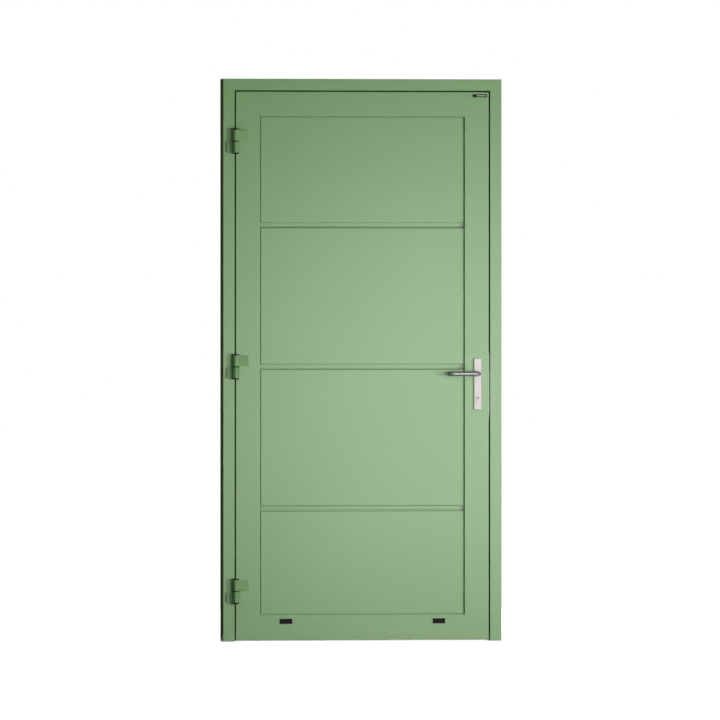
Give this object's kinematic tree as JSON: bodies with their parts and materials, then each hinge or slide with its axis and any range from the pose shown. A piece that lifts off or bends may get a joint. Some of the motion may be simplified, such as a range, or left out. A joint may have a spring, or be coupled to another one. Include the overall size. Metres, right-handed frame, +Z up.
{
  "type": "steel utility door",
  "caption": "Single-leaf steel utility door in its frame, with horizontal panel sections, surface hinges and a lever handle on long plates.",
  "frame": {"origin": "centre of the threshold's underside, on the floor behind the closed leaf", "axes": "+Z up, +X to the right seen from outside, +Y into the wall, so outside faces -Y"},
  "size_m": [1.07, 0.17, 2.14],
  "materials": {
    "door_paint": "satin pale green powder coat",
    "panel_paint": "satin pale green coated sheet",
    "bead_paint": "satin pale green powder coat",
    "hinge_paint": "satin pale green powder coat",
    "satin_steel": "fine satin",
    "cylinder_nickel": "matt nickel",
    "zinc_steel": "zinc plated",
    "threshold_metal": "natural anodised",
    "seal_rubber": "matt black",
    "black_plastic": "fine matt black"
  },
  "bodies": {
    "frame": {"hinge_jamb": "door_paint", "lock_jamb": "door_paint", "head": "door_paint", "threshold": "threshold_metal", "frame_seal": "seal_rubber", "strike_plate": "zinc_steel", "hinge_bottom_frame_part": "hinge_paint", "hinge_middle_frame_part": "hinge_paint", "hinge_top_frame_part": "hinge_paint", "hinge_pins": "zinc_steel", "hinge_bushes": "black_plastic", "hinge_lower_caps": "black_plastic"},
    "leaf": {"hinge_stile": "door_paint", "lock_stile": "door_paint", "top_rail": "door_paint", "bottom_rail": "door_paint", "panel_1": "panel_paint", "panel_2": "panel_paint", "panel_3": "panel_paint", "panel_4": "panel_paint", "hinge_side_bead": "bead_paint", "lock_side_bead": "bead_paint", "top_bead": "bead_paint", "bottom_bead": "bead_paint", "bottom_strip": "door_paint", "outside_handle_plate": "satin_steel", "inside_handle_plate": "satin_steel", "mortice_lock": "zinc_steel", "lock_cylinder": "cylinder_nickel", "drain_caps": "black_plastic", "hinge_bottom_leaf_part": "hinge_paint", "hinge_middle_leaf_part": "hinge_paint", "hinge_top_leaf_part": "hinge_paint", "hinge_upper_caps": "black_plastic"},
    "lever": {"outside_lever": "satin_steel", "inside_lever": "satin_steel", "spindle": "zinc_steel"}
  },
  "joints": [
    {"name": "leaf_swing", "type": "hinge", "parent": "frame", "child": "leaf", "pos_m": [-0.4884, -0.095, 1.045], "axis": [0, 0, -1], "range_deg": [0, 120]},
    {"name": "lever_turn", "type": "hinge", "parent": "leaf", "child": "lever", "pos_m": [0.4428, -0.047, 1.018], "axis": [0, -1, 0], "range_deg": [0, 40], "stiffness_Nm_per_rad": 2, "springref_deg": -20.05}
  ]
}
